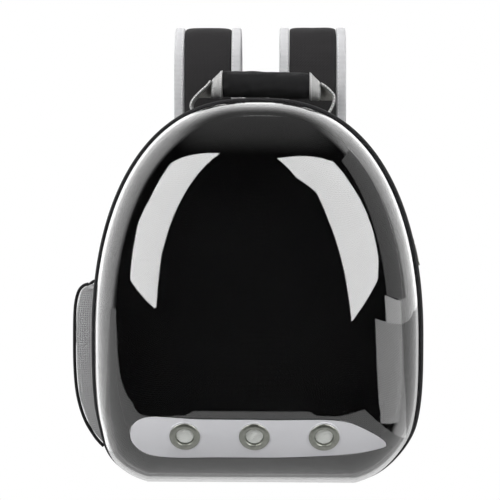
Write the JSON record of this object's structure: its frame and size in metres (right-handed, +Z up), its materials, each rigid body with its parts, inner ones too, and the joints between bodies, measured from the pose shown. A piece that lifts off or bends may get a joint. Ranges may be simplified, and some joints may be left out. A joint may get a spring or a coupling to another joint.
{
  "type": "bubble pet carrier backpack",
  "caption": "Backpack pet carrier: black fabric tub with a clear domed front, ringed air vents in a pale strip, padded top handle, side mesh pocket and padded shoulder straps.",
  "frame": {"origin": "on the floor under the middle of the tub: centre of the flat base of the fabric tub, halfway through the gusset's depth", "axes": "+Z up, -Y towards the clear dome (the front), +Y towards the wearer's back panel and straps, +X to the right seen from the front"},
  "size_m": [0.364, 0.3152, 0.482],
  "materials": {
    "tub_cloth": "black woven polyester, matt",
    "strap_cloth": "black woven polyester over foam, matt",
    "binding_black": "black folded binding tape, slight sheen",
    "zip_tape": "black zip tape with a fine coil",
    "webbing": "black ribbed webbing",
    "back_mesh": "black spacer mesh over foam",
    "strap_trim": "light grey binding cloth",
    "grip_cloth": "black woven cloth over a padded core",
    "handle_trim": "light grey coated cloth, satin",
    "pocket_mesh": "grey mesh cloth",
    "lock_plastic": "black moulded plastic, satin",
    "dome_plastic": "clear polished sheet",
    "strip_plastic": "pale plastic, satin",
    "screen_mesh": "pale woven screen",
    "vent_metal": "grey plated metal, worn satin"
  },
  "bodies": {
    "root": {"gusset_band": "tub_cloth", "back_panel": "tub_cloth", "strap_core_left": "strap_cloth", "strap_core_right": "strap_cloth", "strap_yoke": "strap_cloth", "anchor_tab_left": "strap_cloth", "anchor_tab_right": "strap_cloth", "rim_binding": "binding_black", "back_piping": "binding_black", "pocket_piping_front": "binding_black", "pocket_piping_rear": "binding_black", "zip_band": "zip_tape", "strap_tab_left": "webbing", "strap_tab_right": "webbing", "adjuster_webbing_left": "webbing", "adjuster_webbing_right": "webbing", "back_pad_left": "back_mesh", "back_pad_right": "back_mesh", "strap_binding_left_left": "strap_trim", "strap_binding_right_left": "strap_trim", "strap_binding_left_right": "strap_trim", "strap_binding_right_right": "strap_trim", "handle_grip": "grip_cloth", "handle_cuff_left": "handle_trim", "handle_cuff_right": "handle_trim", "handle_elbow_left": "handle_trim", "handle_elbow_right": "handle_trim", "side_pocket": "pocket_mesh", "ladder_lock_left": "lock_plastic", "ladder_lock_right": "lock_plastic", "bubble_dome": "dome_plastic", "vent_strip": "strip_plastic", "vent_screen_1": "screen_mesh", "vent_screen_2": "screen_mesh", "vent_screen_3": "screen_mesh", "vent_ring_1": "vent_metal", "vent_ring_2": "vent_metal", "vent_ring_3": "vent_metal", "zip_slider": "vent_metal"}
  },
  "joints": []
}
